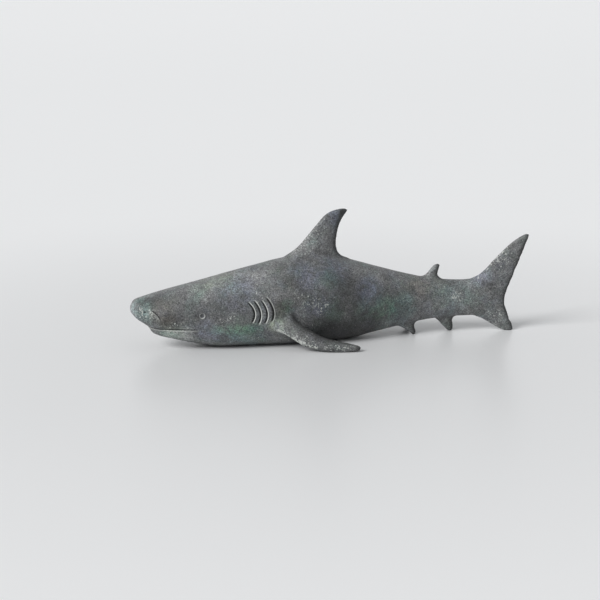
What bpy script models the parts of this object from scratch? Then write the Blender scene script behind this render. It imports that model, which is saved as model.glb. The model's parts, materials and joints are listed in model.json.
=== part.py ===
"""Shark figurine, cast in one piece, lying on its belly and facing -X.

Metres, +Z up. The shark stands on z = 0 on its flattened belly, the edges of its pectoral fins,
its anal fin and the lower tip of its tail fin. Distances called "at" run back from the snout tip.
"""
import math
from collections import namedtuple

import bmesh
import bpy
from mathutils import Matrix, Vector
from mathutils.bvhtree import BVHTree

OBJECT_NAME = "shark_figurine"

# The trunk is as long as its three stretches together: snout to gills, gills to hip, hip to end.
HEAD_LENGTH = 0.150
BODY_LENGTH = 0.195
TAIL_LENGTH = 0.115
BODY_HEIGHT = 0.108
BODY_WIDTH = 0.090

Station = namedtuple("Station", "at back belly half widest")


def station(at, back, belly, half, widest):
    """Section of the trunk at a distance from the snout.

    back, belly and widest are heights above the ground, as shares of the body's height; widest is
    where the section is widest, and half is half of its width there, as a share of the body's width.
    """
    return Station(at, BODY_HEIGHT * back, BODY_HEIGHT * belly, BODY_WIDTH * half, BODY_HEIGHT * widest)


HIP_AT = HEAD_LENGTH + BODY_LENGTH
SNOUT = station(0.0, 0.537, 0.370, 0.178, 0.444)
NOSTRIL = station(HEAD_LENGTH * 0.140, 0.593, 0.243, 0.261, 0.417)
CHIN = station(HEAD_LENGTH * 0.167, 0.602, 0.176, 0.278, 0.412)
JAW = station(HEAD_LENGTH * 0.220, 0.622, 0.139, 0.306, 0.407)
CHEEK = station(HEAD_LENGTH * 0.347, 0.665, 0.093, 0.361, 0.403)
EYE = station(HEAD_LENGTH * 0.547, 0.727, 0.028, 0.417, 0.398)
THROAT = station(HEAD_LENGTH * 0.720, 0.787, -0.003, 0.456, 0.389)
GILL = station(HEAD_LENGTH, 0.878, -0.009, 0.486, 0.389)
SHOULDER = station(HEAD_LENGTH + BODY_LENGTH * 0.195, 0.954, -0.014, 0.500, 0.398)
SADDLE = station(HEAD_LENGTH + BODY_LENGTH * 0.385, 0.983, -0.011, 0.478, 0.417)
WAIST = station(HEAD_LENGTH + BODY_LENGTH * 0.600, 0.903, 0.001, 0.417, 0.426)
FLANK = station(HEAD_LENGTH + BODY_LENGTH * 0.790, 0.798, 0.056, 0.339, 0.417)
HIP = station(HIP_AT, 0.687, 0.111, 0.256, 0.398)
RUMP = station(HIP_AT + TAIL_LENGTH * 0.287, 0.626, 0.157, 0.191, 0.389)
STALK = station(HIP_AT + TAIL_LENGTH * 0.565, 0.602, 0.178, 0.142, 0.389)
TAIL_ROOT = station(HIP_AT + TAIL_LENGTH * 0.774, 0.620, 0.176, 0.100, 0.398)
TAIL_END = station(HIP_AT + TAIL_LENGTH, 0.519, 0.259, 0.022, 0.389)
TRUNK = (SNOUT, NOSTRIL, CHIN, JAW, CHEEK, EYE, THROAT, GILL, SHOULDER, SADDLE, WAIST, FLANK, HIP,
         RUMP, STALK, TAIL_ROOT, TAIL_END)
BACK_ROUNDNESS = 2.0
BELLY_ROUNDNESS = 2.5

# How far from the tip of the snout each of its faces reaches its full size
NOSE_TOP_ROUNDING = 0.0072
NOSE_SIDE_ROUNDING = 0.0144
NOSE_UNDER_ROUNDING = 0.0120

# Below the lip the lower jaw is narrower than the head. (place, share of the head's width)
LIP_HEIGHT = NOSTRIL.belly + 0.0018
LIP_EDGE = 0.0012
JAW_WIDTH = ((NOSTRIL.at, 0.20), (CHIN.at, 0.53), (JAW.at, 0.845), (CHEEK.at, 0.955), (EYE.at, 0.99),
             (THROAT.at, 1.00))
MOUTH_HEIGHT = LIP_HEIGHT - LIP_EDGE
MOUTH_FRONT_AT = NOSTRIL.at - 0.0010
MOUTH_CORNER_AT = EYE.at - 0.0040
MOUTH_BLUNTNESS = 1.7
MOUTH_GROOVE = 0.0012

# Fins: chord along the body, span from the skin outwards, thickness at the tip.
# Outlines are (share of the span, share of the chord) from root to tip.
DORSAL_AT = SHOULDER.at
DORSAL_CHORD = 0.072
DORSAL_SPAN = 0.0535
DORSAL_THICKNESS = 0.0085
DORSAL_LEADING = ((0.00, -0.08), (0.10, 0.00), (0.22, 0.17), (0.56, 0.43), (0.80, 0.61),
                  (0.90, 0.70), (0.96, 0.80), (0.99, 0.91), (1.00, 0.99))
DORSAL_TRAILING = ((0.00, 1.12), (0.05, 0.99), (0.17, 0.91), (0.30, 0.89), (0.54, 0.91),
                   (0.78, 0.98), (0.90, 1.05), (0.96, 1.09), (0.99, 1.09), (1.00, 1.06))

REAR_DORSAL_AT = RUMP.at - 0.016
REAR_DORSAL_CHORD = 0.024
REAR_DORSAL_SPAN = 0.0175
REAR_DORSAL_THICKNESS = 0.0065
REAR_DORSAL_LEADING = ((0.00, -0.33), (0.33, -0.06), (0.45, 0.22), (0.65, 0.42), (0.86, 0.60),
                       (0.95, 0.70), (1.00, 0.86))
REAR_DORSAL_TRAILING = ((0.00, 1.42), (0.22, 1.13), (0.33, 1.00), (0.50, 0.91), (0.75, 0.95),
                        (0.90, 1.01), (0.96, 1.02), (1.00, 0.96))

CAUDAL_AT = TAIL_ROOT.at - 0.009
CAUDAL_CHORD = 0.069
CAUDAL_HEIGHT = 0.1240
CAUDAL_TIP_THICKNESS = 0.0047
CAUDAL_LOWER_THICKNESS = 0.0055
CAUDAL_ROOT_THICKNESS = 0.0130
CAUDAL_UPPER_THICKNESS = 0.0066
CAUDAL_THICKNESS = ((0.00, CAUDAL_TIP_THICKNESS), (0.12, CAUDAL_LOWER_THICKNESS),
                    (0.30, CAUDAL_ROOT_THICKNESS), (0.48, CAUDAL_ROOT_THICKNESS),
                    (0.66, CAUDAL_UPPER_THICKNESS), (1.00, CAUDAL_TIP_THICKNESS))
CAUDAL_LEADING = ((0.000, 0.66), (0.012, 0.575), (0.040, 0.465), (0.120, 0.21), (0.160, 0.03),
                  (0.230, -0.10), (0.480, -0.16), (0.540, -0.01), (0.580, 0.14), (0.745, 0.41),
                  (0.906, 0.69), (0.947, 0.785), (0.985, 0.90), (1.000, 0.965))
CAUDAL_TRAILING = ((0.000, 0.755), (0.015, 0.78), (0.050, 0.77), (0.166, 0.69), (0.311, 0.606),
                   (0.372, 0.622), (0.580, 0.754), (0.745, 0.862), (0.906, 0.964), (0.970, 1.000),
                   (1.000, 1.005))

# The pectoral fin is swept back and down to the ground. Each edge is a row of
# (share of the run, share of the length, share of the reach, share of the root's height).
PECTORAL_AT = GILL.at - 0.004
PECTORAL_LENGTH = 0.1195
PECTORAL_REACH = 0.0340
PECTORAL_ROOT_HEIGHT = 0.0468
PECTORAL_EDGE_HEIGHT = 0.0012
PECTORAL_ROOT_THICKNESS = 0.0160
PECTORAL_FOLD_THICKNESS = 0.0105
PECTORAL_MIDDLE_THICKNESS = 0.0086
PECTORAL_TIP_THICKNESS = 0.0078
PECTORAL_THICKNESS = ((0.0, PECTORAL_ROOT_THICKNESS), (0.2, PECTORAL_FOLD_THICKNESS),
                      (0.5, PECTORAL_MIDDLE_THICKNESS), (1.0, PECTORAL_TIP_THICKNESS))
PECTORAL_LEADING = ((0.00, 0.05, -0.30, 0.38), (0.10, 0.14, -0.06, 0.44), (0.20, 0.20, 0.12, 0.42),
                    (0.35, 0.32, 0.33, 0.27), (0.50, 0.44, 0.51, 0.13), (0.62, 0.55, 0.66, 0.06),
                    (0.75, 0.68, 0.81, 0.02), (0.87, 0.83, 0.93, 0.00), (1.00, 0.98, 1.00, 0.02))
PECTORAL_TRAILING = ((0.00, 0.33, -0.14, 1.06), (0.10, 0.34, 0.02, 0.95), (0.20, 0.36, 0.13, 0.81),
                     (0.35, 0.44, 0.18, 0.63), (0.50, 0.55, 0.28, 0.45), (0.62, 0.64, 0.37, 0.33),
                     (0.75, 0.74, 0.50, 0.25), (0.87, 0.86, 0.69, 0.19), (1.00, 1.00, 0.90, 0.10))

PELVIC_AT = HIP.at - 0.020
PELVIC_CHORD = 0.028
PELVIC_SPAN = 0.0110
PELVIC_ROOTS_APART = 0.0145
PELVIC_SPREAD = 0.0080
PELVIC_THICKNESS = 0.0070
PELVIC_LEADING = ((0.00, 0.00), (0.45, 0.25), (0.63, 0.50), (0.80, 0.70), (1.00, 0.82))
PELVIC_TRAILING = ((0.00, 1.43), (0.25, 1.03), (0.57, 0.98), (0.82, 1.00), (1.00, 0.96))

ANAL_AT = RUMP.at + 0.002
ANAL_CHORD = 0.026
ANAL_THICKNESS = 0.0070
ANAL_LEADING = ((0.00, -0.23), (0.33, 0.00), (0.55, 0.25), (0.77, 0.47), (0.90, 0.60), (1.00, 0.70))
ANAL_TRAILING = ((0.00, 1.23), (0.25, 1.04), (0.46, 0.90), (0.67, 0.93), (0.88, 0.93), (1.00, 0.84))

# The section of a fin is fuller in front by this share, and never shorter than its least chord.
FIN_FULLNESS = 0.3
PECTORAL_FULLNESS = 0.5
FIN_LEAST_CHORD = 0.0005
FIN_ROOT_SINK = 0.0070
FIN_ROOT_FLARE = 0.0120
SMALL_FIN_FLARE = 0.0050
FIN_TIP_ROUNDING = 0.09

# Swimming bend of the spine, sideways, towards +Y where positive. (place, shift)
BEND = ((SADDLE.at, 0.0), (FLANK.at, 0.0065), (HIP.at, 0.0108), (STALK.at, 0.0053),
        (CAUDAL_AT + CAUDAL_CHORD, -0.0130))

FIN_ROOT_FILLET = 0.0080
FILLET_ROUNDS = 40
PECTORAL_FILLET = 0.0220
PECTORAL_FILLET_ROUNDS = 380

# How far what rests on the ground is let into it before it is cut flat
GROUND_SINK = 0.0006
GROUND_DEPTH = 0.0500

# Carved details. A gill slit is swept forward at its top and at its bottom.
GILL_COUNT = 4
GILL_FIRST_AT = GILL.at - 0.0070
GILL_SPACING = 0.0075
GILL_LENGTH = 0.0260
GILL_MIDDLE_HEIGHT = GILL.widest + 0.0045
GILL_TOP_SWEEP = 0.0075
GILL_BOTTOM_SWEEP = 0.0033
GILL_GROOVE = 0.0010

EYE_RING = 0.0034
EYE_GROOVE = 0.0007
PUPIL = 0.0012

NOSTRIL_AT = CHIN.at + 0.0020
NOSTRIL_HEIGHT = NOSTRIL.widest - 0.0060
NOSTRIL_LENGTH = 0.0080
NOSTRIL_DROP = 0.0032
NOSTRIL_GROOVE = 0.0009

# A groove narrows to a point at both ends: share of its width there, and how blunt the point is
GROOVE_POINT = 0.15
GROOVE_BLUNTNESS = 0.4

# Surface resolution of the casting
FIRST_SLICE = 0.0001
TRUNK_SLICE = 0.0020
GRAIN = 0.0013
SMOOTHING_ROUNDS = 6
BODY_TRIANGLES = 11000
DETAIL_MARGIN = 0.0016
SLIVER = 0.0001

COLOUR_PATINA = (0.105, 0.115, 0.112, 1.0)


def clear_scene():
    for item in list(bpy.data.objects):
        bpy.data.objects.remove(item, do_unlink=True)


def new_collection(name):
    group = bpy.data.collections.new(name)
    bpy.context.scene.collection.children.link(group)
    return group


def flow(points, where):
    """Height of a smooth curve through (place, value) points, without overshoot between them."""
    if where <= points[0][0]:
        return points[0][1]
    if where >= points[-1][0]:
        return points[-1][1]
    slopes = [(b[1] - a[1]) / (b[0] - a[0]) for a, b in zip(points, points[1:])]
    tangents = [slopes[0]]
    for before, after in zip(slopes, slopes[1:]):
        tangents.append(0.0 if before * after <= 0 else 2 * before * after / (before + after))
    tangents.append(slopes[-1])
    for i, (start, end) in enumerate(zip(points, points[1:])):
        if where <= end[0]:
            width = end[0] - start[0]
            t = (where - start[0]) / width
            return ((1 + 2 * t) * (1 - t) ** 2 * start[1] + t * (1 - t) ** 2 * width * tangents[i]
                    + t * t * (3 - 2 * t) * end[1] + t * t * (t - 1) * width * tangents[i + 1])


def trunk(field, at):
    return flow([(station.at, getattr(station, field)) for station in TRUNK], at)


def rounded_end(distance, radius):
    """Share of the full size at a distance behind a rounded end."""
    reach = min(distance / radius, 1.0)
    return math.sqrt(1 - (1 - reach) ** 2)


def signed_power(value, power):
    return math.copysign(abs(value) ** power, value)


def loft(name, rings, group):
    """Closed skin through rings of equal point counts, capped at both ends."""
    mesh = bpy.data.meshes.new(name)
    bm = bmesh.new()
    loops = [[bm.verts.new(point) for point in ring] for ring in rings]
    count = len(loops[0])
    for front, rear in zip(loops, loops[1:]):
        for k in range(count):
            bm.faces.new((front[k], front[(k + 1) % count], rear[(k + 1) % count], rear[k]))
    bm.faces.new(reversed(loops[0]))
    bm.faces.new(loops[-1])
    bmesh.ops.recalc_face_normals(bm, faces=bm.faces)
    bm.to_mesh(mesh)
    bm.free()
    item = bpy.data.objects.new(name, mesh)
    group.objects.link(item)
    return item


def trunk_ring(at, points=72):
    tip = SNOUT.widest
    back = tip + (trunk("back", at) - tip) * rounded_end(at, NOSE_TOP_ROUNDING)
    belly = tip - (tip - trunk("belly", at)) * rounded_end(at, NOSE_UNDER_ROUNDING)
    half = trunk("half", at) * rounded_end(at, NOSE_SIDE_ROUNDING)
    widest = min(max(trunk("widest", at), belly), back)
    ring = []
    for k in range(points):
        turn = 2 * math.pi * k / points
        if math.sin(turn) >= 0:
            rise, roundness = back - widest, BACK_ROUNDNESS
        else:
            rise, roundness = widest - belly, BELLY_ROUNDNESS
        across = half * signed_power(math.cos(turn), 2 / roundness)
        height = widest + rise * signed_power(math.sin(turn), 2 / roundness)
        below_lip = min(max((LIP_HEIGHT - height) / LIP_EDGE, 0.0), 1.0)
        across *= 1 - (1 - flow(JAW_WIDTH, at)) * below_lip
        ring.append(Vector((at, across, height)))
    return ring


def flank_point(at, height, side):
    """Point of the trunk's skin at a place along the body and a height."""
    widest = trunk("widest", at)
    if height >= widest:
        share, roundness = (height - widest) / (trunk("back", at) - widest), BACK_ROUNDNESS
    else:
        share, roundness = (widest - height) / (widest - trunk("belly", at)), BELLY_ROUNDNESS
    out = trunk("half", at) * (1 - min(share, 1.0) ** roundness) ** (1 / roundness)
    return Vector((at, side * out, height))


def make_trunk(group, nose_slices=10):
    nose = NOSE_SIDE_ROUNDING
    places = [FIRST_SLICE]
    places += [nose * (1 - math.cos(math.pi / 2 * k / nose_slices)) for k in range(1, nose_slices + 1)]
    steps = round((TAIL_END.at - nose) / TRUNK_SLICE)
    places += [nose + (TAIL_END.at - nose) * k / steps for k in range(1, steps + 1)]
    return loft("trunk", [trunk_ring(at) for at in places], group)


def make_fin(name, group, leading, trailing, chord, thickness, place, slices=40, points=36):
    """Aerofoil slices from root to tip.

    thickness is a function of the share of the span, and place turns (along the body, across the
    fin, share of the span) into a point.
    """
    rings = []
    for i in range(slices + 1):
        share = math.sin(math.pi / 2 * i / slices)
        front = flow(leading, share) * chord
        rear = max(flow(trailing, share) * chord, front + FIN_LEAST_CHORD)
        thick = thickness(share) * rounded_end(1.02 - share, FIN_TIP_ROUNDING)
        ring = []
        for k in range(points):
            turn = 2 * math.pi * k / points
            along = front + (rear - front) * (1 - math.cos(turn)) / 2
            across = thick / 2 * math.sin(turn) * (1 + FIN_FULLNESS * math.cos(turn))
            ring.append(place(along, across, share))
        rings.append(ring)
    return loft(name, rings, group)


def flared(tip, flare, reach):
    """Thickness that grows towards the root like a fillet."""
    return lambda share: tip * (1.25 - 0.45 * share) + flare * max(1 - share / reach, 0) ** 2


def make_upright_fins(group):
    crest = trunk("back", DORSAL_AT + DORSAL_CHORD / 2) - FIN_ROOT_SINK
    height = DORSAL_SPAN + FIN_ROOT_SINK
    dorsal = make_fin("dorsal_fin", group, DORSAL_LEADING, DORSAL_TRAILING, DORSAL_CHORD,
                      flared(DORSAL_THICKNESS, FIN_ROOT_FLARE, 0.4),
                      lambda along, across, share: Vector((DORSAL_AT + along, across,
                                                           crest + height * share)))
    ridge = trunk("back", REAR_DORSAL_AT + REAR_DORSAL_CHORD / 2) - FIN_ROOT_SINK
    rise = REAR_DORSAL_SPAN + FIN_ROOT_SINK
    rear = make_fin("rear_dorsal_fin", group, REAR_DORSAL_LEADING, REAR_DORSAL_TRAILING,
                    REAR_DORSAL_CHORD, flared(REAR_DORSAL_THICKNESS, SMALL_FIN_FLARE, 0.5),
                    lambda along, across, share: Vector((REAR_DORSAL_AT + along, across,
                                                         ridge + rise * share)))
    return [dorsal, rear]


def make_caudal_fin(group):
    return make_fin("tail_fin", group, CAUDAL_LEADING, CAUDAL_TRAILING, CAUDAL_CHORD,
                    lambda share: flow(CAUDAL_THICKNESS, share),
                    lambda along, across, share: Vector((CAUDAL_AT + along, across,
                                                         CAUDAL_HEIGHT * share - GROUND_SINK)),
                    slices=90)


def make_pectoral_fin(group, side, slices=60, points=36):
    flank = trunk("half", PECTORAL_AT)

    def edge(rows, share):
        along, out, height = [flow([(row[0], row[i]) for row in rows], share) for i in (1, 2, 3)]
        return Vector((PECTORAL_AT + PECTORAL_LENGTH * along,
                       side * (flank + PECTORAL_REACH * out),
                       PECTORAL_EDGE_HEIGHT + PECTORAL_ROOT_HEIGHT * height))

    def middle(share):
        return (edge(PECTORAL_LEADING, share) + edge(PECTORAL_TRAILING, share)) / 2

    rings = []
    for i in range(slices + 1):
        share = i / slices
        front, rear = edge(PECTORAL_LEADING, share), edge(PECTORAL_TRAILING, share)
        before = max(i - 1, 0) / slices
        onward = middle(before + 1 / slices) - middle(before)
        upward = (rear - front).cross(onward).normalized()
        if upward.z < 0:
            upward = -upward
        thick = flow(PECTORAL_THICKNESS, share) * rounded_end(1.01 - share, FIN_TIP_ROUNDING)
        ring = []
        for k in range(points):
            turn = 2 * math.pi * k / points
            ring.append(front + (rear - front) * (1 - math.cos(turn)) / 2
                        + upward * thick / 2 * math.sin(turn) * (1 + PECTORAL_FULLNESS * math.cos(turn)))
        rings.append(ring)
    return loft("pectoral_fin", rings, group)


def make_pelvic_fin(group, side):
    belly = trunk("belly", PELVIC_AT + PELVIC_CHORD / 2) + FIN_ROOT_SINK
    drop = PELVIC_SPAN + FIN_ROOT_SINK
    return make_fin("pelvic_fin", group, PELVIC_LEADING, PELVIC_TRAILING, PELVIC_CHORD,
                    flared(PELVIC_THICKNESS, SMALL_FIN_FLARE, 0.5),
                    lambda along, across, share: Vector((
                        PELVIC_AT + along,
                        side * (PELVIC_ROOTS_APART / 2 + PELVIC_SPREAD * share) + across,
                        belly - drop * share)))


def make_anal_fin(group):
    root = trunk("belly", ANAL_AT + ANAL_CHORD / 2) + FIN_ROOT_SINK
    tip = -GROUND_SINK
    return make_fin("anal_fin", group, ANAL_LEADING, ANAL_TRAILING, ANAL_CHORD,
                    flared(ANAL_THICKNESS, SMALL_FIN_FLARE, 0.5),
                    lambda along, across, share: Vector((ANAL_AT + along, across,
                                                         root + (tip - root) * share)))


def join(name, pieces, group):
    """One mesh object that holds the meshes of several."""
    bm = bmesh.new()
    for piece in pieces:
        bm.from_mesh(piece.data)
        bpy.data.objects.remove(piece, do_unlink=True)
    mesh = bpy.data.meshes.new(name)
    bm.to_mesh(mesh)
    bm.free()
    item = bpy.data.objects.new(name, mesh)
    group.objects.link(item)
    return item


def bent(point):
    return point + Vector((0.0, flow(BEND, point.x), 0.0))


def bend_sideways(item):
    for vertex in item.data.vertices:
        vertex.co = bent(vertex.co)


def apply_modifiers(item):
    """Replace the object's mesh by its evaluated mesh."""
    graph = bpy.context.evaluated_depsgraph_get()
    mesh = bpy.data.meshes.new_from_object(item.evaluated_get(graph))
    item.modifiers.clear()
    item.data = mesh


def drop_crumbs(item):
    """Delete all but the largest connected skin."""
    bm = bmesh.new()
    bm.from_mesh(item.data)
    left = set(bm.verts)
    skins = []
    while left:
        front = [left.pop()]
        skin = set(front)
        while front:
            for edge in front.pop().link_edges:
                for vertex in edge.verts:
                    if vertex in left:
                        left.remove(vertex)
                        skin.add(vertex)
                        front.append(vertex)
        skins.append(skin)
    skins.sort(key=len)
    bmesh.ops.delete(bm, geom=[vertex for skin in skins[:-1] for vertex in skin], context="VERTS")
    bm.to_mesh(item.data)
    bm.free()


def skin_tree(items):
    """Search tree over the faces of several objects."""
    points, faces = [], []
    for item in items:
        start = len(points)
        points += [vertex.co.copy() for vertex in item.data.vertices]
        faces += [[start + k for k in face.vertices] for face in item.data.polygons]
    return BVHTree.FromPolygons(points, faces)


def weigh(item, name, weight):
    """Vertex group from a function of the vertex's place."""
    group = item.vertex_groups.new(name=name)
    for vertex in item.data.vertices:
        group.add([vertex.index], weight(vertex.co), "REPLACE")
    return group.name


def fillet(item, trunk_skin, fin_skin, reach, rounds, crease_behind=False):
    """Round the inner corners where the fins leave the trunk.

    With crease_behind, only in front of the fins and below them, so that the crease behind stays.
    """
    def corner(place):
        facing, away = fin_skin.find_nearest(place)[1::2]
        away = max(away, trunk_skin.find_nearest(place)[3])
        softness = min(max(-3 * min(facing.x, facing.z), 0.0), 1.0) if crease_behind else 1.0
        return softness * max(1 - away / reach, 0.0)

    smooth = item.modifiers.new("fillet", "SMOOTH")
    smooth.vertex_group = weigh(item, "corner", corner)
    smooth.factor = 0.5
    smooth.iterations = rounds
    apply_modifiers(item)


def fuse(item):
    """Melt the overlapping solids into one smooth skin."""
    remesh = item.modifiers.new("fuse", "REMESH")
    remesh.mode = "VOXEL"
    remesh.voxel_size = GRAIN
    smooth = item.modifiers.new("soften", "SMOOTH")
    smooth.factor = 0.5
    smooth.iterations = SMOOTHING_ROUNDS
    apply_modifiers(item)


def weld(item):
    """Merge the slivers that carving leaves, into a mesh of triangles."""
    bm = bmesh.new()
    bm.from_mesh(item.data)
    bmesh.ops.remove_doubles(bm, verts=bm.verts, dist=SLIVER)
    bmesh.ops.dissolve_degenerate(bm, dist=SLIVER / 10, edges=bm.edges)
    bmesh.ops.triangulate(bm, faces=bm.faces)
    bm.to_mesh(item.data)
    bm.free()


def thin_out(item, carvings):
    """Fewer triangles where the skin is even, with the carved details kept."""
    carved = skin_tree([carvings])
    plain = weigh(item, "plain", lambda place: min(carved.find_nearest(place)[3] / DETAIL_MARGIN, 1))
    triangles = sum(len(face.vertices) - 2 for face in item.data.polygons)
    thin = item.modifiers.new("thin", "DECIMATE")
    thin.ratio = min(BODY_TRIANGLES / triangles, 1.0)
    thin.vertex_group = plain
    apply_modifiers(item)
    drop_crumbs(item)


def groove(name, path, radius, skin, group, sides=8):
    """Round bar along a path, laid on the skin and pointed at both ends, that cuts a groove."""
    path = [skin.find_nearest(bent(point))[0] for point in path]
    rings = []
    last = len(path) - 1
    for i, point in enumerate(path):
        ahead = (path[min(i + 1, last)] - path[max(i - 1, 0)]).normalized()
        first = ahead.orthogonal().normalized()
        if i and rings:
            first = (rings[-1][0] - path[i - 1]).normalized()
            first = (first - ahead * first.dot(ahead)).normalized()
        second = ahead.cross(first)
        fullness = max(math.sin(math.pi * i / last), 0.0) ** GROOVE_BLUNTNESS
        size = radius * (GROOVE_POINT + (1 - GROOVE_POINT) * fullness)
        rings.append([point + size * (first * math.cos(2 * math.pi * k / sides)
                                      + second * math.sin(2 * math.pi * k / sides))
                      for k in range(sides)])
    return loft(name, rings, group)


def gill_path(index, side, steps=14):
    path = []
    for k in range(steps + 1):
        share = 2 * k / steps - 1
        sweep = (GILL_TOP_SWEEP if share > 0 else GILL_BOTTOM_SWEEP) * share ** 2
        at = GILL_FIRST_AT + index * GILL_SPACING - sweep
        path.append(flank_point(at, GILL_MIDDLE_HEIGHT + GILL_LENGTH / 2 * share, side))
    return path


def mouth_path(steps=40):
    """Along the lip, round the lower jaw from one corner of the mouth to the other."""
    path = []
    for k in range(steps + 1):
        share = 2 * k / steps - 1
        at = MOUTH_FRONT_AT + (MOUTH_CORNER_AT - MOUTH_FRONT_AT) * abs(share) ** MOUTH_BLUNTNESS
        edge = flank_point(at, LIP_HEIGHT, math.copysign(1, share))
        edge.y *= (1 + flow(JAW_WIDTH, at)) / 2 if share else 0.0
        edge.z = MOUTH_HEIGHT
        path.append(edge)
    return path


def nostril_path(side, steps=6):
    path = []
    for k in range(steps + 1):
        share = k / steps - 0.5
        path.append(flank_point(NOSTRIL_AT + NOSTRIL_LENGTH * share,
                                NOSTRIL_HEIGHT - NOSTRIL_DROP * share, side))
    return path


def add_ring(name, centre, normal, radius, thickness, group):
    bpy.ops.mesh.primitive_torus_add(major_radius=radius, minor_radius=thickness,
                                     major_segments=24, minor_segments=8, location=centre,
                                     rotation=normal.to_track_quat("Z", "Y").to_euler())
    return adopt(name, group)


def add_ball(name, centre, radius, group):
    bpy.ops.mesh.primitive_uv_sphere_add(segments=12, ring_count=8, radius=radius, location=centre)
    return adopt(name, group)


def adopt(name, group):
    """Take the newest primitive into a collection, with its place in its mesh."""
    item = bpy.context.object
    item.name = name
    for home in list(item.users_collection):
        home.objects.unlink(item)
    group.objects.link(item)
    item.data.transform(item.matrix_world)
    item.matrix_world.identity()
    return item


def make_cutters(skin, group):
    cutters = [groove("mouth_cutter", mouth_path(), MOUTH_GROOVE, skin, group)]
    for side in (-1, 1):
        for index in range(GILL_COUNT):
            cutters.append(groove("gill_cutter", gill_path(index, side), GILL_GROOVE, skin, group))
        cutters.append(groove("nostril_cutter", nostril_path(side), NOSTRIL_GROOVE, skin, group))
        eye, outwards = skin.find_nearest(bent(flank_point(EYE.at, EYE.widest, side)))[:2]
        cutters.append(add_ring("eye_cutter", eye, outwards, EYE_RING, EYE_GROOVE, group))
        cutters.append(add_ball("pupil_cutter", eye, PUPIL, group))
    return cutters


def make_ground(group):
    """Everything below the ground is cut away, so the belly and the fins rest flat."""
    bpy.ops.mesh.primitive_cube_add(size=1.0, location=(TAIL_END.at / 2, 0.0, -GROUND_DEPTH / 2),
                                    scale=(2 * TAIL_END.at, TAIL_END.at, GROUND_DEPTH))
    return adopt("ground_cutter", group)


def carve(item, cutter):
    cut = item.modifiers.new(cutter.name, "BOOLEAN")
    cut.operation = "DIFFERENCE"
    cut.solver = "EXACT"
    cut.object = cutter
    cutter.hide_render = True
    cutter.display_type = "WIRE"


def way_to_origin(item):
    """The move that brings the middle of the footprint to the origin."""
    xs = [vertex.co.x for vertex in item.data.vertices]
    ys = [vertex.co.y for vertex in item.data.vertices]
    return Vector((-(min(xs) + max(xs)) / 2, -(min(ys) + max(ys)) / 2, 0.0))


def patina_material():
    material = bpy.data.materials.new("patina")
    material.use_nodes = True
    shader = material.node_tree.nodes["Principled BSDF"]
    shader.inputs["Base Color"].default_value = COLOUR_PATINA
    shader.inputs["Roughness"].default_value = 0.55
    shader.inputs["Metallic"].default_value = 0.2
    return material


def main():
    clear_scene()
    parts = new_collection(OBJECT_NAME)
    tools = new_collection("cutters")

    trunk_piece = make_trunk(parts)
    fins = make_upright_fins(parts) + [make_caudal_fin(parts), make_anal_fin(parts)]
    fins += [make_pelvic_fin(parts, side) for side in (-1, 1)]
    pectorals = [make_pectoral_fin(parts, side) for side in (-1, 1)]
    pieces = [trunk_piece] + fins + pectorals
    for piece in pieces:
        bend_sideways(piece)
    trunk_skin, fin_skin, pectoral_skin = skin_tree([trunk_piece]), skin_tree(fins), skin_tree(pectorals)
    shark = join(OBJECT_NAME, pieces, parts)
    fuse(shark)
    fillet(shark, trunk_skin, fin_skin, FIN_ROOT_FILLET, FILLET_ROUNDS)
    fillet(shark, trunk_skin, pectoral_skin, PECTORAL_FILLET, PECTORAL_FILLET_ROUNDS, crease_behind=True)

    carvings = join("carving_cutter", make_cutters(skin_tree([shark]), tools), tools)
    ground = make_ground(tools)
    offset = way_to_origin(shark)
    for item in (shark, carvings, ground):
        item.data.transform(Matrix.Translation(offset))
    carve(shark, carvings)
    apply_modifiers(shark)
    weld(shark)
    thin_out(shark, carvings)
    carve(shark, ground)
    shark.data.materials.append(patina_material())
    shark.data.shade_smooth()


main()
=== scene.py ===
"""Shark figurine: the cast skin with its carving and mottled patina, on a plain pale floor."""
import json
import math

import bpy
import numpy as np
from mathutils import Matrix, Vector, noise
from mathutils.bvhtree import BVHTree
from mathutils.kdtree import KDTree

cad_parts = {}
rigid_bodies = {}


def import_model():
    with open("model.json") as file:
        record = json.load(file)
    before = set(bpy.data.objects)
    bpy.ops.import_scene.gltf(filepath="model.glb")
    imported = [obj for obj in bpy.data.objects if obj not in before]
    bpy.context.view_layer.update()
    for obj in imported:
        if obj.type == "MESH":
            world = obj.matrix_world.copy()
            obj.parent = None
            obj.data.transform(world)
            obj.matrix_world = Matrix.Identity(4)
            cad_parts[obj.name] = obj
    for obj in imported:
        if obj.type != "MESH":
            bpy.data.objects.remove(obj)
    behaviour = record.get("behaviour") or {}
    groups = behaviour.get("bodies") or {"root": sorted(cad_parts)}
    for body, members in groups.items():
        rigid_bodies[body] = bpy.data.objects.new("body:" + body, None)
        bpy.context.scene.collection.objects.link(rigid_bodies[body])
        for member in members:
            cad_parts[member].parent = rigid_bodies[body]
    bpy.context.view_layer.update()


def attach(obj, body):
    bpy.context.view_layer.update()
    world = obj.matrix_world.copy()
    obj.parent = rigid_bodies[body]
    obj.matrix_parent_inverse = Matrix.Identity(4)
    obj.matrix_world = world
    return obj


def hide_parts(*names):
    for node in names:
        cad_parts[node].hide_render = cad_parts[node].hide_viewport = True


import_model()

NODE = "shark_figurine"
BODY = "root"

# Camera at the photograph's viewing angle: place, turn in degrees, lens and sensor in mm
CAMERA_PLACE = (-0.3861, -1.6279, 0.4244)
CAMERA_TURN = (77.28, 0.0, -12.0)
CAMERA_LENS = 84.0
CAMERA_SENSOR = 36.0

# Surface of the casting
SKIN_GRAIN = 0.0010
SKIN_TRIANGLES = 125000
SMOOTHING_ROUNDS = 90
SMOOTHING_IN = 0.50
SMOOTHING_OUT = -0.53
EDGE_ROUNDS = 120
EDGE_OUT = -0.51
REAR_EDGE_WIDTH = 0.0034
MERGE_DISTANCE = 0.00001

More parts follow.
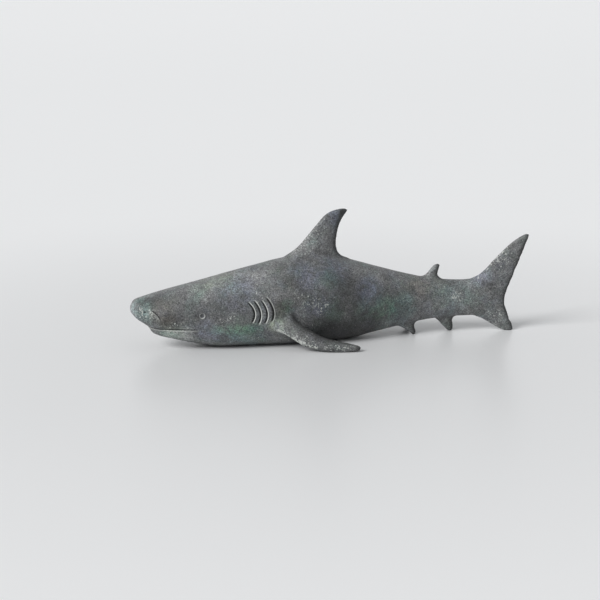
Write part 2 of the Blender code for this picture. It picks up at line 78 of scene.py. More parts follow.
# The faces near a carved line are split once within each of these distances
DETAIL_MARGINS = (0.0034, 0.0022)
SPOT_REACH = 0.002

# How fast a ridge counts as an edge to straighten, as a rear edge, and as facing the rear
EDGE_GAIN = 2.0
REAR_RIDGE_GAIN = 2.5
REAR_FACING_GAIN = 2.0

# Where rays that look for the skin start, out from the middle plane
RAY_START = 0.2

# Lumps of the casting: size across and height
LUMPS = ((0.0300, 0.00022), (0.0080, 0.00010))

# Carved lines: depth and width of the groove, height of its lip, its distance and width, how dark the
# painted shade in the groove and how pale the painted highlight on the lip is
GILL_CUT = dict(depth=0.0016, width=0.0008, lip=0.0007, away=0.0016, lip_width=0.00045,
                dark=1.0, pale=1.0)
LAST_GILL_CUT = dict(GILL_CUT, width=0.0010, lip_width=0.0004, pale=0.6)
MOUTH_CUT = dict(depth=0.0010, width=0.0009, lip=0.0004, away=-0.0018, lip_width=0.0007,
                 dark=0.72, pale=0.45)
NOSTRIL_CUT = dict(depth=0.0006, width=0.0007, lip=0.0002, away=-0.0016, lip_width=0.0009,
                   dark=0.80, pale=0.18)

# How far from its line a cut is worked out, and the share of its length over which each end fades
CUT_REACH = 0.006
CUT_FADE = 0.12

# Gill slits: top, middle and bottom of each, as (x, z)
GILLS = (((-0.1122, 0.0584), (-0.1047, 0.0465), (-0.1080, 0.0340)),
         ((-0.1051, 0.0602), (-0.0976, 0.0460), (-0.1005, 0.0320)),
         ((-0.0962, 0.0600), (-0.0896, 0.0460), (-0.0925, 0.0330)),
         ((-0.0902, 0.0636), (-0.0821, 0.0478), (-0.0850, 0.0348)))

# Mouth: from one corner round the chin to the other, at one height
MOUTH_HEIGHT = 0.0266
MOUTH_FRONT = -0.2262
MOUTH_CORNER = -0.1690
MOUTH_BLUNTNESS = 1.7

# Nostril: a crease from its front to its lower end, behind a small pit
NOSTRIL = ((-0.2240, 0.0500), (-0.2180, 0.0455), (-0.2130, 0.0380))
NOSTRIL_PIT = (-0.2315, 0.0480)
NOSTRIL_PIT_SIZE = 0.0016
NOSTRIL_PIT_DEPTH = 0.0007
# Painted shade in the nostril's pit
NOSTRIL_PIT_DARK = 0.7

# Eye: a raised ring round a sunk pupil, set in a shallow hollow
EYE_PLACE = (-0.1656, 0.0441)
EYE_RING = 0.0031
EYE_RING_WIDTH = 0.00055
EYE_RING_RISE = 0.0008
EYE_PUPIL = 0.0010
EYE_PUPIL_DEPTH = 0.0005
EYE_HOLLOW = 0.0044
EYE_HOLLOW_DEPTH = 0.0005

# How dark the painted shade in the pupil and the hollow and how pale the painted highlight on the ring are,
# and what changes below and to the rear, where the hollow's shade is lighter and the ring's highlight paler
EYE_PUPIL_DARK = 0.32
EYE_HOLLOW_DARK = 0.40
EYE_HOLLOW_CHANGE = -0.15
EYE_RING_PALE = 0.36
EYE_RING_CHANGE = 0.26

# Lines along which pale flecks stay: points as (x, distance from the middle plane, z), then
# width and strength
FLECK_LINES = ((((-0.0777, 0.0506, 0.0239), (-0.0632, 0.0588, 0.0157), (-0.0483, 0.0649, 0.0095),
                 (-0.0355, 0.0695, 0.0065)), 0.0034, 0.18),
               (((-0.0355, 0.0695, 0.0065), (-0.0081, 0.0761, 0.0067), (0.0137, 0.0765, 0.0064)),
                0.0030, 0.10),
               (((-0.2260, 0.0260, 0.0485), (-0.2160, 0.0295, 0.0385)), 0.0026, 0.18),
               (((-0.2370, 0.0190, 0.0500), (-0.2310, 0.0230, 0.0430)), 0.0040, 0.13),
               (((-0.1980, 0.0340, 0.0340), (-0.1890, 0.0355, 0.0365)), 0.0034, 0.15),
               (((-0.1450, 0.0430, 0.0370), (-0.1310, 0.0440, 0.0420)), 0.0060, 0.13))


def only_select(item):
    for other in bpy.context.view_layer.objects:
        other.select_set(False)
    item.select_set(True)
    bpy.context.view_layer.objects.active = item


def apply_all(item):
    only_select(item)
    for modifier in list(item.modifiers):
        bpy.ops.object.modifier_apply(modifier=modifier.name)


def read_points(mesh):
    flat = np.empty(3 * len(mesh.vertices))
    mesh.vertices.foreach_get("co", flat)
    return flat.reshape(-1, 3)


def write_points(mesh, points):
    mesh.vertices.foreach_set("co", points.ravel())
    mesh.update()


def read_normals(mesh):
    flat = np.empty(3 * len(mesh.vertices))
    mesh.vertex_normals.foreach_get("vector", flat)
    return flat.reshape(-1, 3)


def write_attribute(mesh, name, values):
    attribute = mesh.attributes.get(name) or mesh.attributes.new(name, "FLOAT", "POINT")
    attribute.data.foreach_set("value", values)


def read_attribute(mesh, name):
    values = np.empty(len(mesh.vertices))
    mesh.attributes[name].data.foreach_get("value", values)
    return values


def averager(mesh, chosen=None):
    """Function that gives each vertex, or each chosen one, the mean of its neighbours' values."""
    edges = np.empty(2 * len(mesh.edges), dtype=np.int64)
    mesh.edges.foreach_get("vertices", edges)
    one, other = edges.reshape(-1, 2).T
    starts, ends = np.concatenate((one, other)), np.concatenate((other, one))
    count = len(mesh.vertices)
    if chosen is not None:
        starts, ends = starts[chosen[starts]], ends[chosen[starts]]
    valence = np.maximum(np.bincount(starts, minlength=count), 1)

    def average(values):
        columns = [np.bincount(starts, weights=column[ends], minlength=count) / valence
                   for column in np.atleast_2d(values.T)]
        return np.array(columns).T.reshape(values.shape)
    return average


def smooth_out(mesh):
    """Take the facets out of the skin without thinning its fins."""
    points = read_points(mesh)
    average = averager(mesh)
    for _ in range(SMOOTHING_ROUNDS):
        for share in (SMOOTHING_IN, SMOOTHING_OUT):
            points += share * (average(points) - points)
    write_points(mesh, points)


def straighten_edges(mesh):
    """Take the last steps out of the fins' thin edges, along the edge and not across it."""
    share_of = np.clip(EDGE_GAIN * read_attribute(mesh, "relief"), 0, 1)
    chosen = share_of > 0
    average = averager(mesh, chosen)
    points = read_points(mesh)
    for _ in range(EDGE_ROUNDS):
        for share in (SMOOTHING_IN, EDGE_OUT):
            points += (share * share_of * chosen)[:, None] * (average(points) - points)
    write_points(mesh, points)


def mark_relief(mesh, rounds=6, scale=0.00012):
    """Attributes relief, above 0 on ridges and below 0 in hollows, and rear_edge, 1 on fins' rear edges,
    which carries painted shade on the side turned from the light.
    """
    points = read_points(mesh)
    average = averager(mesh)
    normals = read_normals(mesh)
    relief = np.einsum("ij,ij->i", points - average(average(points)), normals) / scale
    for _ in range(rounds):
        relief = average(relief)
    write_attribute(mesh, "relief", relief)
    faces_rear = np.clip(REAR_FACING_GAIN * normals[:, 0], 0, 1)
    write_attribute(mesh, "rear_edge", faces_rear * np.clip(REAR_RIDGE_GAIN * relief, 0, 1))


def skin_tree(mesh):
    return BVHTree.FromPolygons([vertex.co for vertex in mesh.vertices],
                                [face.vertices for face in mesh.polygons])


def side_point(tree, x, z, side):
    """Point of the skin on one side of the body, seen square from that side."""
    return tree.ray_cast(Vector((x, side * RAY_START, z)), Vector((0.0, -side, 0.0)))[0]


def curve_points(top, middle, bottom, steps=16):
    """Smooth curve through three points."""
    points = []
    for k in range(steps + 1):
        share = k / steps
        weights = ((1 - share) * (1 - 2 * share), 4 * share * (1 - share), share * (2 * share - 1))
        points.append(tuple(sum(weight * point[i] for weight, point in zip(weights, (top, middle, bottom)))
                            for i in (0, 1)))
    return points


def mouth_line(tree, steps=64):
    """Round the chin from one corner of the mouth to the other."""
    line = []
    for k in range(steps + 1):
        share = 2 * k / steps - 1
        x = MOUTH_FRONT + (MOUTH_CORNER - MOUTH_FRONT) * abs(share) ** MOUTH_BLUNTNESS
        point = side_point(tree, x, MOUTH_HEIGHT, math.copysign(1, share))
        if point:
            line.append(point)
    return line


def detail_lines(tree):
    """The carved lines as (cut, axis that tells the lip's side, points on the skin)."""
    lines = [(MOUTH_CUT, 2, mouth_line(tree))]
    for side in (-1, 1):
        for gill in GILLS:
            style = LAST_GILL_CUT if gill == GILLS[-1] else GILL_CUT
            lines.append((style, 0, [side_point(tree, x, z, side) for x, z in curve_points(*gill)]))
        lines.append((NOSTRIL_CUT, 0, [side_point(tree, x, z, side) for x, z in curve_points(*NOSTRIL)]))
    return lines


def nearest_on_line(points, line):
    """Distance and offset of points from a line, and how far along it they lie, 0 to 1."""
    line = np.array([tuple(point) for point in line])
    runs = np.diff(line, axis=0)
    best = np.full(len(points), np.inf)
    offset = np.zeros_like(points)
    along = np.zeros(len(points))
    for i, (start, run) in enumerate(zip(line, runs)):
        share = np.clip((points - start) @ run / (run @ run), 0, 1)
        away = points - start - share[:, None] * run
        distance = np.linalg.norm(away, axis=1)
        nearer = distance < best
        best[nearer] = distance[nearer]
        offset[nearer] = away[nearer]
        along[nearer] = (i + share[nearer]) / len(runs)
    return best, offset, along


def near_box(points, line, margin):
    """Which points lie in the line's box, made larger by the margin."""
    line = np.array([tuple(point) for point in line])
    inside = (points > line.min(0) - margin) & (points < line.max(0) + margin)
    return np.nonzero(inside.all(axis=1))[0]


def refine_near(skin, lines, margin):
    """Split the faces that lie near the carved lines."""
    mesh = skin.data
    centres = np.empty(3 * len(mesh.polygons))
    mesh.polygons.foreach_get("center", centres)
    centres = centres.reshape(-1, 3)
    chosen = np.zeros(len(centres), dtype=bool)
    for line in lines:
        some = near_box(centres, line, margin)
        chosen[some[nearest_on_line(centres[some], line)[0] < margin]] = True
    only_select(skin)
    bpy.ops.object.mode_set(mode="EDIT")
    bpy.ops.mesh.select_mode(type="FACE")
    bpy.ops.mesh.select_all(action="DESELECT")
    bpy.ops.object.mode_set(mode="OBJECT")
    mesh.polygons.foreach_set("select", chosen)
    bpy.ops.object.mode_set(mode="EDIT")
    bpy.ops.mesh.subdivide(number_cuts=1)
    bpy.ops.object.mode_set(mode="OBJECT")


def hump(distance, width):
    """1 at no distance, falling smoothly towards 0 past the width."""
    return np.exp(-(distance / width) ** 2)


def carve_details(mesh, lines, eyes, pits):
    """Sink the carved lines, eyes and nostrils into the skin and raise their lips; the attribute carved
    holds the painted shade in them and lip the painted highlight beside them.
    """
    points, normals = read_points(mesh), read_normals(mesh)
    rise = np.zeros(len(points))
    carved = np.zeros(len(points))
    lip = np.zeros(len(points))
    for style, axis, line in lines:
        some = near_box(points, line, CUT_REACH)
        distance, offset, along = nearest_on_line(points[some], line)
        ends = np.clip(np.minimum(along, 1 - along) / CUT_FADE, 0, 1) ** 0.5
        groove = hump(distance, style["width"]) * ends
        edge = hump(np.sign(offset[:, axis]) * distance - style["away"], style["lip_width"]) * ends
        rise[some] += style["lip"] * edge - style["depth"] * groove
        carved[some] = np.maximum(carved[some], style["dark"] * groove)
        lip[some] = np.maximum(lip[some], style["pale"] * edge)
    for pit in pits:
        hole = hump(np.linalg.norm(points - np.array(pit), axis=1), NOSTRIL_PIT_SIZE)
        rise -= NOSTRIL_PIT_DEPTH * hole
        carved = np.maximum(carved, NOSTRIL_PIT_DARK * hole)
    for eye in eyes:
        away = points - np.array(eye)
        distance = np.linalg.norm(away, axis=1)
        # Lower and rear side of the eye, where the painted highlight is paler and the painted shade lighter
        below = np.clip((away[:, 0] - away[:, 2]) / EYE_RING, -1, 1)
        ring = hump(distance - EYE_RING, EYE_RING_WIDTH)
        pupil = hump(distance, EYE_PUPIL)
        hollow = hump(distance - EYE_HOLLOW, EYE_RING_WIDTH)
        rise += EYE_RING_RISE * ring - EYE_PUPIL_DEPTH * pupil - EYE_HOLLOW_DEPTH * hollow
        carved = np.maximum(carved, EYE_PUPIL_DARK * pupil)
        carved = np.maximum(carved, (EYE_HOLLOW_DARK + EYE_HOLLOW_CHANGE * below) * hollow)
        lip = np.maximum(lip, (EYE_RING_PALE + EYE_RING_CHANGE * below) * ring)
    write_points(mesh, points + rise[:, None] * normals)
    write_attribute(mesh, "carved", carved)
    write_attribute(mesh, "lip", lip)


def widen_rear_edges(mesh):
    """Let the attribute rear_edge, painted shade on the fins' rear edges, fade out over its width on both
    sides of the fins.
    """
    points = read_points(mesh)
    on_edge = np.nonzero(read_attribute(mesh, "rear_edge") > 0.5)[0]
    edge_tree = KDTree(len(on_edge))
    for k in on_edge:
        edge_tree.insert(points[k], k)
    edge_tree.balance()
    distance = np.array([edge_tree.find(point)[2] for point in points])
    write_attribute(mesh, "rear_edge", hump(distance, REAR_EDGE_WIDTH))


def mark_fleck_lines(mesh):
    """Attribute flecks: the strength of the lines where pale flecks stay, alike on both sides."""
    points = read_points(mesh)
    points[:, 1] = np.abs(points[:, 1])
    flecks = np.zeros(len(points))
    for line, width, strength in FLECK_LINES:
        some = near_box(points, line, 3 * width)
        distance = nearest_on_line(points[some], line)[0]
        flecks[some] = np.maximum(flecks[some], strength * hump(distance, width))
    write_attribute(mesh, "flecks", flecks)


def add_lumps(mesh):
    """The slight unevenness of a hand-finished casting."""
    points, normals = read_points(mesh), read_normals(mesh)
    rise = np.array([sum(height * noise.noise(Vector(point) / across) for across, height in LUMPS)
                     for point in points])
    write_points(mesh, points + rise[:, None] * normals)


def flatten_underside(mesh, ground=0.0004):
    """What rests on the floor stays flat and never goes below it."""
    points = read_points(mesh)
    points[:, 2] = np.where(points[:, 2] < ground, 0.0, points[:, 2])
    write_points(mesh, points)


def even_skin():
    """The solid's surface as an even, smooth mesh of its own."""
    source = bpy.data.objects[NODE]
    skin = source.copy()
    skin.data = source.data.copy()
    skin.name = "cast_skin"
    bpy.context.scene.collection.objects.link(skin)
    only_select(skin)
    bpy.ops.object.mode_set(mode="EDIT")
    bpy.ops.mesh.select_all(action="SELECT")
    bpy.ops.mesh.remove_doubles(threshold=MERGE_DISTANCE)
    bpy.ops.object.mode_set(mode="OBJECT")
    remesh = skin.modifiers.new("even_grain", "REMESH")
    remesh.mode = "VOXEL"
    remesh.voxel_size = SKIN_GRAIN
    apply_all(skin)
    smooth_out(skin.data)
    mark_relief(skin.data)
    straighten_edges(skin.data)
    thin = skin.modifiers.new("fewer_triangles", "DECIMATE")
    thin.ratio = min(SKIN_TRIANGLES / (2 * len(skin.data.polygons)), 1.0)
    apply_all(skin)
    return skin


def add_details(skin):
    """The lumps of the casting, and its carving on a finer mesh."""
    tree = skin_tree(skin.data)
    lines = detail_lines(tree)
    eyes = [side_point(tree, *EYE_PLACE, side) for side in (-1, 1)]
    pits = [side_point(tree, *NOSTRIL_PIT, side) for side in (-1, 1)]
    fine_areas = [line for _, _, line in lines]
    half_spot = Vector((SPOT_REACH, 0, 0))
    for spot in eyes + pits:
        fine_areas.append([spot - half_spot, spot + half_spot])
    add_lumps(skin.data)
    for margin in DETAIL_MARGINS:
        refine_near(skin, fine_areas, margin)
    triangulate = skin.modifiers.new("triangles", "TRIANGULATE")
    triangulate.min_vertices = 4
    apply_all(skin)
    carve_details(skin.data, lines, eyes, pits)
    flatten_underside(skin.data)


def make_skin():
    skin = even_skin()
    add_details(skin)
    mark_fleck_lines(skin.data)
    widen_rear_edges(skin.data)
    bpy.ops.object.shade_smooth()
    skin.data.materials.clear()
    skin.data.materials.append(patina())
    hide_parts(NODE)
    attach(skin, BODY)


class Nodes:
    """Short way to lay out a material's nodes."""

    def __init__(self, name):
        self.material = bpy.data.materials.new(name)
        self.material.use_nodes = True
        self.tree = self.material.node_tree
        self.shader = self.tree.nodes["Principled BSDF"]

    def add(self, kind, inputs, **settings):
        node = self.tree.nodes.new("ShaderNode" + kind)
        for name, value in settings.items():
            setattr(node, name, value)
        for key, value in inputs.items():
            if isinstance(value, bpy.types.NodeSocket):
                self.tree.links.new(value, node.inputs[key])
            else:
                node.inputs[key].default_value = value
        return node

    def math(self, operation, *values):
        return self.add("Math", dict(enumerate(values)), operation=operation).outputs[0]

    def noise(self, place, scale, detail=2.0, roughness=0.5, distortion=0.0):
        inputs = {"Vector": place, "Scale": scale, "Detail": detail, "Roughness": roughness,
                  "Distortion": distortion}
        return self.add("TexNoise", inputs).outputs["Fac"]

    def between(self, value, low, high, start=0.0, end=1.0, curve="LINEAR"):
        inputs = {"Value": value, "From Min": low, "From Max": high, "To Min": start, "To Max": end}
        return self.add("MapRange", inputs, interpolation_type=curve).outputs["Result"]

    def blend(self, share, under, over, mode="MIX"):
        inputs = {0: share, 6: under, 7: over}
        return self.add("Mix", inputs, data_type="RGBA", blend_type=mode).outputs[2]

    def attribute(self, name):
        return self.add("Attribute", {}, attribute_name=name).outputs["Fac"]


# Patina: grey stone under thin tints, which multiply it
STONE = (0.147, 0.149, 0.151, 1)
GREEN = (0.84, 1.14, 0.94, 1)
TEAL = (0.84, 1.07, 1.05, 1)
VIOLET = (0.92, 0.97, 1.20, 1)
BROWN = (1.05, 0.97, 0.87, 1)
OLIVE = (1.00, 1.07, 0.87, 1)
CRUST = (0.500, 0.520, 0.490, 1)
# Pale for the painted highlight on the lips beside the grooves and on the eye rings
LIP_HIGHLIGHT = (0.800, 0.820, 0.780, 1)
# Near black for painted shade in hollows, grooves, pits and on rear edges
PAINTED_SHADE_COLOUR = (0.016, 0.016, 0.016, 1)

# Patches of tint: tint, centre with its distance from the middle plane, reach, strength
TINTS = ((TEAL, (-0.235, 0.019, 0.053), 0.022, 0.9),
         (GREEN, (-0.168, 0.023, 0.074), 0.016, 0.3),
         (OLIVE, (-0.145, 0.012, 0.082), 0.030, 0.5),
         (BROWN, (-0.214, 0.027, 0.050), 0.022, 0.6),
         (BROWN, (-0.203, 0.033, 0.034), 0.016, 0.7),
         (GREEN, (-0.205, 0.025, 0.020), 0.018, 0.6),
         (VIOLET, (-0.160, 0.039, 0.024), 0.022, 0.5),
         (VIOLET, (-0.144, 0.037, 0.016), 0.014, 0.5),
         (TEAL, (-0.132, 0.038, 0.014), 0.016, 0.7),
         (GREEN, (-0.150, 0.042, 0.026), 0.011, 0.6),
         (GREEN, (-0.140, 0.043, 0.026), 0.012, 0.6),
         (GREEN, (-0.130, 0.043, 0.026), 0.012, 0.7),
         (GREEN, (-0.120, 0.043, 0.026), 0.012, 0.7),
         (GREEN, (-0.110, 0.043, 0.027), 0.012, 0.7),
         (GREEN, (-0.101, 0.044, 0.028), 0.011, 0.6),
         (VIOLET, (-0.123, 0.036, 0.070), 0.034, 0.6),
         (TEAL, (-0.109, 0.039, 0.012), 0.028, 0.7),
         (BROWN, (-0.074, 0.047, 0.050), 0.014, 0.6),
         (GREEN, (-0.065, 0.047, 0.053), 0.012, 0.9),
         (VIOLET, (-0.042, 0.036, 0.085), 0.028, 0.8),
         (BROWN, (-0.058, 0.037, 0.080), 0.014, 0.7),
         (VIOLET, (-0.003, 0.026, 0.090), 0.028, 0.7),
         (VIOLET, (-0.028, 0.046, 0.050), 0.022, 0.7),
         (GREEN, (-0.010, 0.030, 0.078), 0.018, 0.6),
         (GREEN, (-0.008, 0.040, 0.042), 0.020, 0.6),
         (VIOLET, (0.040, 0.030, 0.060), 0.028, 0.9),
         (GREEN, (0.057, 0.026, 0.040), 0.026, 1.0),
         (GREEN, (0.030, 0.032, 0.040), 0.020, 0.6),
         (TEAL, (0.084, 0.018, 0.037), 0.028, 1.0),
         (BROWN, (0.110, 0.010, 0.062), 0.022, 0.6),
         (TEAL, (0.157, 0.010, 0.048), 0.030, 0.5),
         (VIOLET, (0.190, 0.000, 0.066), 0.022, 0.7),
         (BROWN, (0.200, 0.000, 0.056), 0.014, 0.9),
         (OLIVE, (-0.079, 0.050, 0.030), 0.016, 0.9),
         (VIOLET, (0.006, 0.004, 0.153), 0.024, 0.8))

# Lighter and darker patches: factor, centre, reach. Partly the stone's own paler and darker tone, partly
# painted light and shade, as marked below
PAINTED_SHADE_AND_TONE = ((1.70, (-0.246, 0.010, 0.048), 0.016),
          (0.68, (-0.236, 0.018, 0.056), 0.014),
          (0.52, (-0.218, 0.023, 0.060), 0.018),
          (1.20, (-0.168, 0.014, 0.077), 0.036),
          (1.25, (-0.128, 0.018, 0.083), 0.034),
          (0.80, (-0.178, 0.037, 0.047), 0.028),
          (0.72, (-0.150, 0.042, 0.049), 0.022),
          (0.82, (-0.192, 0.028, 0.062), 0.026),
          # Painted shade above the mouth, under the overhang of the snout
          (0.50, (-0.203, 0.033, 0.036), 0.018),
          (1.92, (-0.196, 0.026, 0.018), 0.026),
          (1.30, (-0.228, 0.023, 0.047), 0.014),
          # Painted light under the head, two patches, standing for light from the floor
          (1.12, (-0.155, 0.039, 0.022), 0.022),
          (1.12, (-0.123, 0.038, 0.013), 0.022),
          (0.82, (-0.115, 0.045, 0.050), 0.030),
          (0.50, (-0.074, 0.047, 0.049), 0.018),
          (1.22, (-0.101, 0.035, 0.078), 0.026),
          (0.80, (-0.063, 0.030, 0.088), 0.028),
          (0.90, (-0.050, 0.044, 0.065), 0.020),
          (0.78, (-0.058, 0.037, 0.080), 0.014),
          (1.16, (-0.040, 0.036, 0.085), 0.020),
          (0.90, (-0.028, 0.046, 0.052), 0.018),
          (1.40, (-0.079, 0.050, 0.030), 0.012),
          # Painted shade on the flank behind the gills, where it turns from the light, two patches
          (0.72, (-0.018, 0.042, 0.055), 0.078),
          (0.64, (0.012, 0.036, 0.062), 0.036),
          (0.76, (0.068, 0.022, 0.040), 0.036),
          # Painted shade, near black, on the belly near the floor behind the fin, two patches
          (0.34, (-0.010, 0.040, 0.010), 0.042),
          (0.32, (0.032, 0.030, 0.014), 0.040),
          (1.12, (0.157, 0.010, 0.042), 0.022),
          (0.80, (0.148, 0.007, 0.060), 0.016),
          (0.80, (0.203, 0.003, 0.056), 0.016),
          (0.85, (0.212, 0.008, 0.096), 0.030),
          (1.32, (0.131, 0.003, 0.076), 0.014),
          (1.14, (-0.023, 0.006, 0.116), 0.020),
          (0.82, (0.006, 0.004, 0.153), 0.018),
          (0.84, (-0.020, 0.068, 0.012), 0.050),
          (0.40, (0.019, 0.077, 0.006), 0.006))

# Places where the pale crust has stayed on: centre, reach, strength
CRUSTS = (((-0.232, 0.021, 0.047), 0.018, 0.06),
          ((-0.204, 0.026, 0.020), 0.020, 0.15),
          ((-0.182, 0.030, 0.020), 0.018, 0.14),
          ((-0.164, 0.025, 0.073), 0.014, 0.10),
          ((-0.104, 0.038, 0.012), 0.012, 0.10),
          ((-0.103, 0.034, 0.078), 0.036, 0.07),
          ((-0.074, 0.055, 0.023), 0.012, 0.10),
          ((-0.052, 0.064, 0.012), 0.024, 0.05),
          ((-0.004, 0.075, 0.008), 0.024, 0.05),
          ((-0.024, 0.046, 0.052), 0.016, 0.14),
          ((-0.045, 0.044, 0.064), 0.026, 0.08),
          ((-0.034, 0.006, 0.116), 0.022, 0.10),
          ((-0.014, 0.005, 0.136), 0.020, 0.10),
          ((0.157, 0.009, 0.046), 0.014, 0.17),
          ((0.212, 0.004, 0.092), 0.026, 0.12),
          ((0.186, 0.008, 0.070), 0.014, 0.08),
          ((0.208, 0.006, 0.018), 0.020, 0.14))

# Noises of the patina
CLOUD = dict(scale=26.0, detail=5.0, roughness=0.62, distortion=0.8)
MOTTLE = dict(scale=95.0, detail=3.0, roughness=0.6, distortion=0.6)
SPECK = dict(scale=260.0, detail=3.0, roughness=0.62, distortion=2.4)
GRAIN = dict(scale=620.0, detail=2.0, roughness=0.7)
FLECK = dict(scale=480.0, detail=2.0, roughness=0.6, distortion=0.5)
STRAY = dict(scale=45.0, detail=4.0, roughness=0.7)

# How far from its middle each noise is read, and how far it then darkens and lightens the stone
CLOUD_LIGHT = (0.20, 0.16)
MOTTLE_LIGHT = (0.20, 0.32)
SPECK_LIGHT = (0.18, 0.38)
GRAIN_LIGHT = (0.18, 0.56)

# Faint tints in random places: where their noise starts to show and shows in full, their strength,
# and how far apart they read the noise
STRAY_TINTS = (GREEN, VIOLET, OLIVE, TEAL)
STRAY_FROM = 0.50
STRAY_FULL = 0.66
STRAY_STRENGTH = 0.3
STRAY_STEP = (0.31, 0.17)
STRAY_HEIGHT = 0.53

# Patches: the share of the reach at full strength, and the mottle that makes tints ragged
PATCH_CORE = 0.3
RAGGED = (0.30, 0.54)

# What adds to the crust, as a value's range and what it adds, and the level where crust lies
CRUST_ON_RIDGES = (0.05, 0.60, 0.0, 0.04)
CRUST_IN_MOTTLE = (0.35, 0.65, -0.03, 0.03)
CRUST_FROM = 0.70
CRUST_FULL = 0.77
CRUST_COVER = 0.85

# Painted shade in hollows and grooves, as a value's range and the cover, and on rear edges; cover of the
# painted highlight on lips
HOLLOW_PAINTED_SHADE = (-0.10, -0.70, 0.0, 0.60)
GROOVE_PAINTED_SHADE = (0.20, 0.62, 0.0, 0.92)
REAR_EDGE_PAINTED_SHADE = 0.80
LIP_HIGHLIGHT_COVER = 0.95

# Sheen and relief of the surface
DULLNESS = (0.30, 0.70, 0.46, 0.64)
SHEEN = 0.40
SPECK_HEIGHT = 0.6
GRAIN_HEIGHT = 0.4
BUMP_STRENGTH = 0.5
BUMP_DEPTH = 0.0008


def within(nodes, mirrored, centre, reach, strength):
    """Strength at a patch's centre, falling smoothly to 0 at its reach."""
    away = nodes.add("VectorMath", {0: mirrored, 1: centre}, operation="DISTANCE").outputs["Value"]
    return nodes.between(away, reach, reach * PATCH_CORE, 0.0, strength, curve="SMOOTHSTEP")


def swing(nodes, value, reading):
    """Factor above and below 1 that follows a noise."""
    half, contrast = reading
    return nodes.between(value, 0.5 - half, 0.5 + half, 1 - contrast, 1 + contrast)


def tinted_stone(nodes, place, mirrored, mottle):
    """Grey stone under faint stray tints and the patches of tint, which have ragged edges."""
    colour = STONE
    for k, tint in enumerate(STRAY_TINTS):
        step = (STRAY_STEP[0] * (k + 1), STRAY_STEP[1] * k, STRAY_HEIGHT)
        shifted = nodes.add("VectorMath", {0: place, 1: step}, operation="ADD").outputs[0]
        spread = nodes.noise(shifted, **STRAY)
        share = nodes.between(spread, STRAY_FROM, STRAY_FULL, 0.0, STRAY_STRENGTH)
        colour = nodes.blend(share, colour, tint, "MULTIPLY")
    for tint, centre, reach, strength in TINTS:
        patch = within(nodes, mirrored, centre, reach, strength)
        ragged = nodes.math("MULTIPLY", patch, nodes.between(mottle, *RAGGED))
        colour = nodes.blend(ragged, colour, tint, "MULTIPLY")
    return colour


def tone_and_painted_light(nodes, mirrored, cloud, mottle, speck, grain):
    """Factor of the lighter and darker patches, partly painted light and shade, and of the grain."""
    light = swing(nodes, cloud, CLOUD_LIGHT)
    for factor, centre, reach in PAINTED_SHADE_AND_TONE:
        shade = nodes.math("ADD", 1.0, within(nodes, mirrored, centre, reach, factor - 1.0))
        light = nodes.math("MULTIPLY", light, shade)
    for value, reading in ((mottle, MOTTLE_LIGHT), (speck, SPECK_LIGHT), (grain, GRAIN_LIGHT)):
        light = nodes.math("MULTIPLY", light, swing(nodes, value, reading))
    return light


def crust_cover(nodes, place, mirrored, mottle, relief):
    """How far pale crust covers the stone: flecks on ridges, along the fleck lines and in patches."""
    level = nodes.math("ADD", nodes.noise(place, **FLECK), nodes.between(relief, *CRUST_ON_RIDGES))
    level = nodes.math("ADD", level, nodes.between(mottle, *CRUST_IN_MOTTLE))
    level = nodes.math("ADD", level, nodes.attribute("flecks"))
    for centre, reach, strength in CRUSTS:
        level = nodes.math("ADD", level, within(nodes, mirrored, centre, reach, strength))
    return nodes.between(level, CRUST_FROM, CRUST_FULL, 0.0, CRUST_COVER)


def painted_shade_and_highlights(nodes, colour, relief):
    """Painted shade in hollows, on rear edges and in grooves, and a painted highlight on the lips beside
    the grooves.
    """
    # Painted shade in the hollows
    colour = nodes.blend(nodes.between(relief, *HOLLOW_PAINTED_SHADE), colour, PAINTED_SHADE_COLOUR)
    # Painted shade on the fins' rear edges, turned from the light
    rear_edge = nodes.math("MULTIPLY", nodes.attribute("rear_edge"), REAR_EDGE_PAINTED_SHADE)
    colour = nodes.blend(rear_edge, colour, PAINTED_SHADE_COLOUR)
    # Painted highlight on the lips beside the grooves and on the eye rings
    lip = nodes.math("MULTIPLY", nodes.attribute("lip"), LIP_HIGHLIGHT_COVER)
    colour = nodes.blend(lip, colour, LIP_HIGHLIGHT)
    # Painted shade in the grooves, pits and eyes
    return nodes.blend(nodes.between(nodes.attribute("carved"), *GROOVE_PAINTED_SHADE), colour, PAINTED_SHADE_COLOUR)


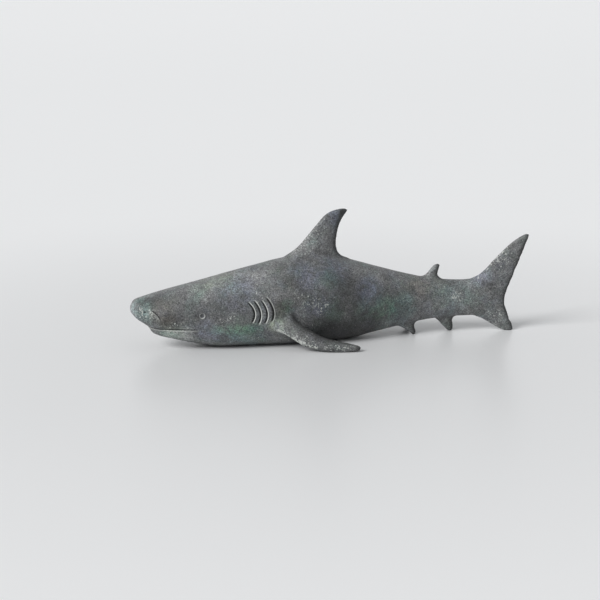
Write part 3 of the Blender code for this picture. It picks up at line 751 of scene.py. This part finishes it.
def patina():
    """Grey cast stone under thin tints, with a fine grain and pale crust, and with painted light and shade.

    Its patches lie alike on both sides, and its noises don't.
    """
    nodes = Nodes("patina")
    place = nodes.add("TexCoord", {}).outputs["Object"]
    parts = nodes.add("SeparateXYZ", {"Vector": place}).outputs
    across = nodes.math("ABSOLUTE", parts["Y"])
    mirrored = nodes.add("CombineXYZ", {"X": parts["X"], "Y": across, "Z": parts["Z"]}).outputs[0]
    cloud, mottle, speck, grain = [nodes.noise(place, **kind) for kind in (CLOUD, MOTTLE, SPECK, GRAIN)]
    relief = nodes.attribute("relief")

    colour = tinted_stone(nodes, place, mirrored, mottle)
    light = tone_and_painted_light(nodes, mirrored, cloud, mottle, speck, grain)
    colour = nodes.add("VectorMath", {0: colour, 3: light}, operation="SCALE").outputs[0]
    colour = nodes.blend(crust_cover(nodes, place, mirrored, mottle, relief), colour, CRUST)
    colour = painted_shade_and_highlights(nodes, colour, relief)
    nodes.tree.links.new(colour, nodes.shader.inputs["Base Color"])

    nodes.tree.links.new(nodes.between(mottle, *DULLNESS), nodes.shader.inputs["Roughness"])
    nodes.shader.inputs["Specular IOR Level"].default_value = SHEEN
    height = nodes.math("ADD", nodes.math("MULTIPLY", speck, SPECK_HEIGHT),
                        nodes.math("MULTIPLY", grain, GRAIN_HEIGHT))
    bump = nodes.add("Bump", {"Height": height, "Strength": BUMP_STRENGTH, "Distance": BUMP_DEPTH})
    nodes.tree.links.new(bump.outputs[0], nodes.shader.inputs["Normal"])
    return nodes.material


# Plain pale floor, a little paler further out
FLOOR_SIZE = 200.0
FLOOR_NEAR = (0.760, 0.765, 0.770, 1)
FLOOR_FAR = (0.900, 0.905, 0.910, 1)
FLOOR_FADE = (0.18, 1.00)
FLOOR_DULLNESS = 0.32
FLOOR_SHEEN = 0.5


def make_floor():
    bpy.ops.mesh.primitive_plane_add(size=FLOOR_SIZE, location=(0.0, 0.0, 0.0))
    floor = bpy.context.object
    floor.name = "floor"
    nodes = Nodes("pale_floor")
    place = nodes.add("TexCoord", {}).outputs["Object"]
    away = nodes.add("VectorMath", {0: place}, operation="LENGTH").outputs["Value"]
    fade = nodes.between(away, *FLOOR_FADE, curve="SMOOTHSTEP")
    nodes.tree.links.new(nodes.blend(fade, FLOOR_NEAR, FLOOR_FAR), nodes.shader.inputs["Base Color"])
    nodes.shader.inputs["Roughness"].default_value = FLOOR_DULLNESS
    nodes.shader.inputs["Specular IOR Level"].default_value = FLOOR_SHEEN
    floor.data.materials.append(nodes.material)


# Soft light from the figurine's left front, at the angle that lights its head and not its flank
SUN_FROM = (-2.0, -0.9, 1.6)
SUN_STRENGTH = 2.6
SUN_SOFTNESS = 28.0
WORLD_LIGHT = 0.46
WORLD_COLOUR = (0.80, 0.81, 0.82, 1)


def make_light():
    data = bpy.data.lights.new("key", "SUN")
    data.energy = SUN_STRENGTH
    data.angle = math.radians(SUN_SOFTNESS)
    lamp = bpy.data.objects.new("key", data)
    bpy.context.scene.collection.objects.link(lamp)
    lamp.location = SUN_FROM
    lamp.rotation_euler = (-Vector(SUN_FROM)).to_track_quat("-Z", "Y").to_euler()
    world = bpy.data.worlds.new("studio")
    bpy.context.scene.world = world
    world.use_nodes = True
    tree = world.node_tree
    background = tree.nodes["Background"]
    background.inputs["Color"].default_value = WORLD_COLOUR
    path = tree.nodes.new("ShaderNodeLightPath")
    seen = tree.nodes.new("ShaderNodeMath")
    seen.operation = "MAXIMUM"
    tree.links.new(path.outputs["Is Camera Ray"], seen.inputs[0])
    tree.links.new(path.outputs["Is Glossy Ray"], seen.inputs[1])
    strength = tree.nodes.new("ShaderNodeMapRange")
    strength.inputs["To Min"].default_value = WORLD_LIGHT
    strength.inputs["To Max"].default_value = 1.0
    tree.links.new(seen.outputs[0], strength.inputs["Value"])
    tree.links.new(strength.outputs["Result"], background.inputs["Strength"])


def make_camera():
    data = bpy.data.cameras.new("camera")
    data.lens = CAMERA_LENS
    data.sensor_width = CAMERA_SENSOR
    camera = bpy.data.objects.new("camera", data)
    bpy.context.scene.collection.objects.link(camera)
    camera.location = CAMERA_PLACE
    camera.rotation_euler = [math.radians(angle) for angle in CAMERA_TURN]
    bpy.context.scene.camera = camera


make_camera()
make_skin()
make_floor()
make_light()
bpy.context.scene.view_settings.view_transform = "Standard"
